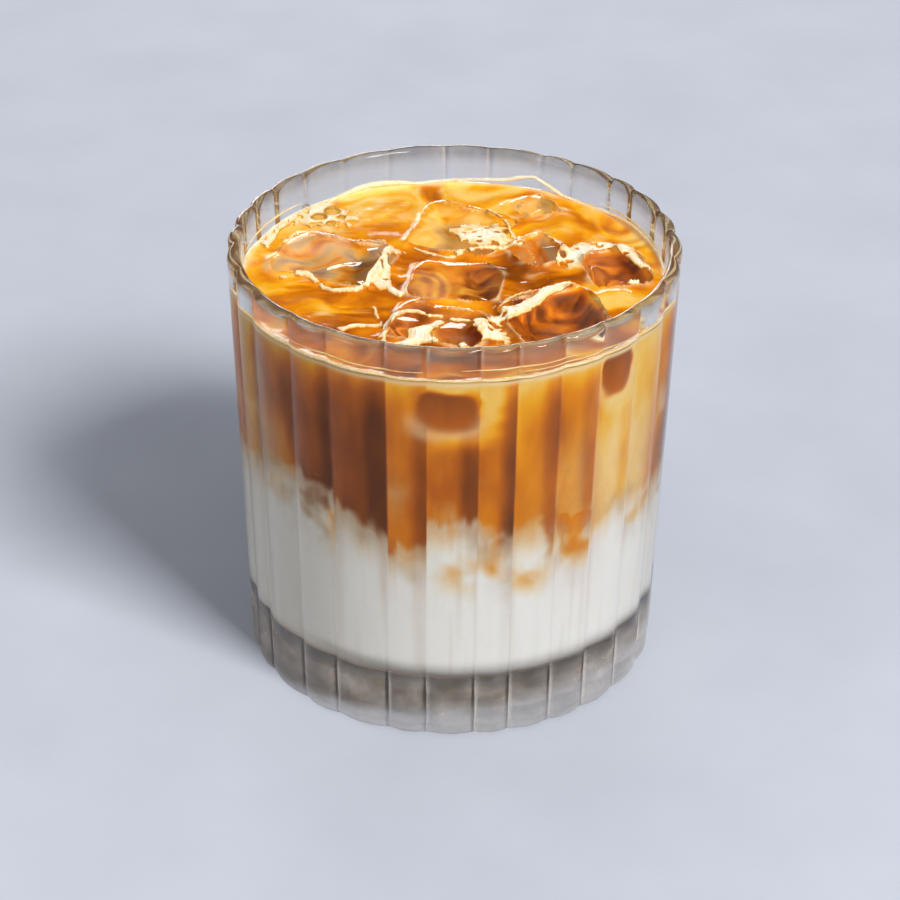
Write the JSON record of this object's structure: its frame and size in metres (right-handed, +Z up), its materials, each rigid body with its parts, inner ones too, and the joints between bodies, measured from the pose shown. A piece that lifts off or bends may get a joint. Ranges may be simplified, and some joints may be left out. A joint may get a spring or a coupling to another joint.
{
  "type": "iced latte in a glass",
  "caption": "Iced latte in a clear ribbed tumbler: milk below, coffee above, and ice cubes standing out of the surface.",
  "frame": {"origin": "centre of the glass's foot, on the surface that it stands on", "axes": "+Z up along the glass's axis, -Y towards the front of the picture's view, +X to its right"},
  "size_m": [0.0877, 0.0877, 0.088],
  "materials": {
    "glass": "clear, pressed ribs",
    "milk": "wet, opaque liquid",
    "coffee": "wet, cloudy liquid",
    "ice": "clear, melting"
  },
  "bodies": {
    "root": {"glass": "glass", "milk": "milk", "coffee": "coffee", "ice_1": "ice", "ice_2": "ice", "ice_3": "ice", "ice_4": "ice", "ice_5": "ice", "ice_6": "ice", "ice_7": "ice", "ice_8": "ice"}
  },
  "joints": []
}
